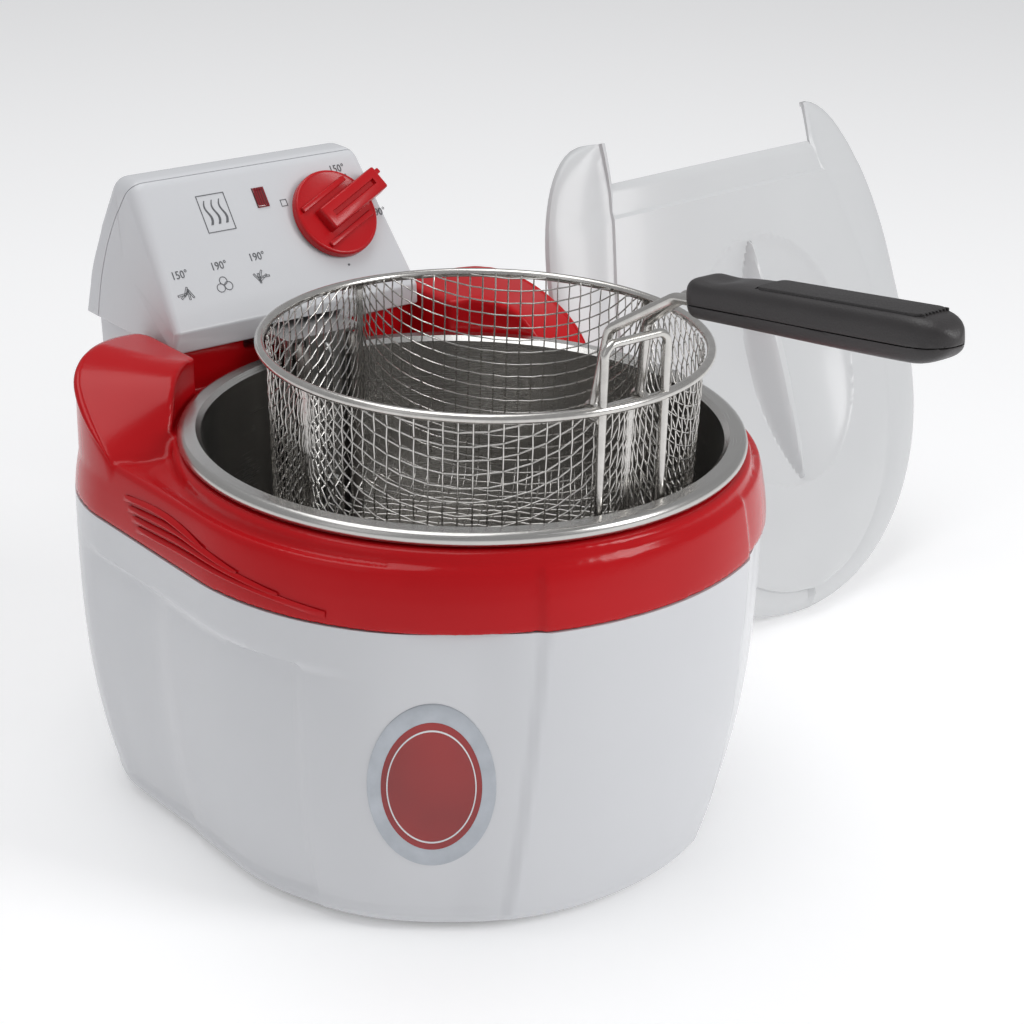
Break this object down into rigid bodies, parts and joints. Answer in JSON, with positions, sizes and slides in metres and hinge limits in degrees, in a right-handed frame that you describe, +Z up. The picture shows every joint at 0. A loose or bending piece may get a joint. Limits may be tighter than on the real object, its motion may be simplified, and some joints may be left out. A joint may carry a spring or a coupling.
{
  "type": "deep fryer",
  "caption": "Countertop deep fryer with a round lift-out pot, lift-off control head and heating tube, a wire basket with a fold-in handle, and a separate moulded lid.",
  "frame": {"origin": "on the worktop, at the centre of the round standing rim, under the axis of the pot", "axes": "+Z up, -Y to the front where the basket handle points, +X towards the lid that stands beside the fryer"},
  "size_m": [0.5138, 0.4548, 0.2894],
  "materials": {
    "white_shell": "glossy moulded plastic",
    "dark_moulding": "fine moulded texture",
    "foot_rubber": "matt rubber",
    "zinc_screw": "zinc plated",
    "red_shell": "glossy moulded plastic",
    "pot_steel": "spun and polished stainless steel",
    "red_knob": "glossy moulded plastic",
    "brass_spindle": "turned brass",
    "red_lens": "tinted lens",
    "lamp_glass": "clear neon lamp",
    "white_insulator": "moulded insulator",
    "gland_rubber": "matt rubber",
    "element_tube": "oxidised heating tube",
    "bracket_steel": "stainless steel",
    "basket_wire": "bright nickel plated wire",
    "black_grip": "fine textured moulding",
    "white_lid": "glossy moulded plastic"
  },
  "bodies": {
    "base": {"outer_body": "white_shell", "base_plate": "dark_moulding", "rubber_feet": "foot_rubber", "base_screws": "zinc_screw", "collar": "red_shell"},
    "pot": {"inner_pot": "pot_steel"},
    "head": {"head_front_housing": "white_shell", "head_rear_cover": "white_shell", "head_screws": "zinc_screw", "thermostat_body": "dark_moulding", "pilot_lens": "red_lens", "pilot_lamp": "lamp_glass", "safety_cutout": "dark_moulding", "terminal_block": "white_insulator", "interlock_switch": "dark_moulding", "cord_gland": "gland_rubber", "heating_element": "element_tube", "element_bracket": "bracket_steel", "sensor_bulb": "bracket_steel"},
    "knob": {"knob": "red_knob", "thermostat_spindle": "brass_spindle"},
    "reset": {"reset_button": "red_knob"},
    "basket": {"basket_rim": "basket_wire", "basket_mesh": "basket_wire", "handle_bracket": "basket_wire", "pivot_wire": "basket_wire"},
    "handle": {"handle_wires": "basket_wire", "grip_upper": "black_grip", "grip_lower": "black_grip", "grip_pad": "black_grip", "grip_screw": "zinc_screw"},
    "lid": {"lid": "white_lid"}
  },
  "joints": [
    {"name": "pot_lift", "type": "slide", "parent": "base", "child": "pot", "axis": [0, 0, 1], "range_m": [0, 0.18]},
    {"name": "head_lift", "type": "slide", "parent": "pot", "child": "head", "axis": [0, 0, 1], "range_m": [0, 0.17]},
    {"name": "basket_lift", "type": "slide", "parent": "head", "child": "basket", "axis": [0, 0, 1], "range_m": [-0.058, 0.15]},
    {"name": "handle_fold", "type": "hinge", "parent": "basket", "child": "handle", "pos_m": [0, -0.0925, 0.21], "axis": [-1, 0, 0], "range_deg": [0, 145]},
    {"name": "knob_turn", "type": "hinge", "parent": "head", "child": "knob", "pos_m": [0.033, 0.14099, 0.22338], "axis": [0, 0.7944, -0.6074], "range_deg": [-246, 27]},
    {"name": "reset_press", "type": "slide", "parent": "head", "child": "reset", "axis": [0, -1, 0], "range_m": [0, 0.0012], "stiffness_N_per_m": 400},
    {"name": "lid_lift", "type": "slide", "parent": "base", "child": "lid", "axis": [0, 0, 1], "range_m": [0, 0.15]}
  ]
}
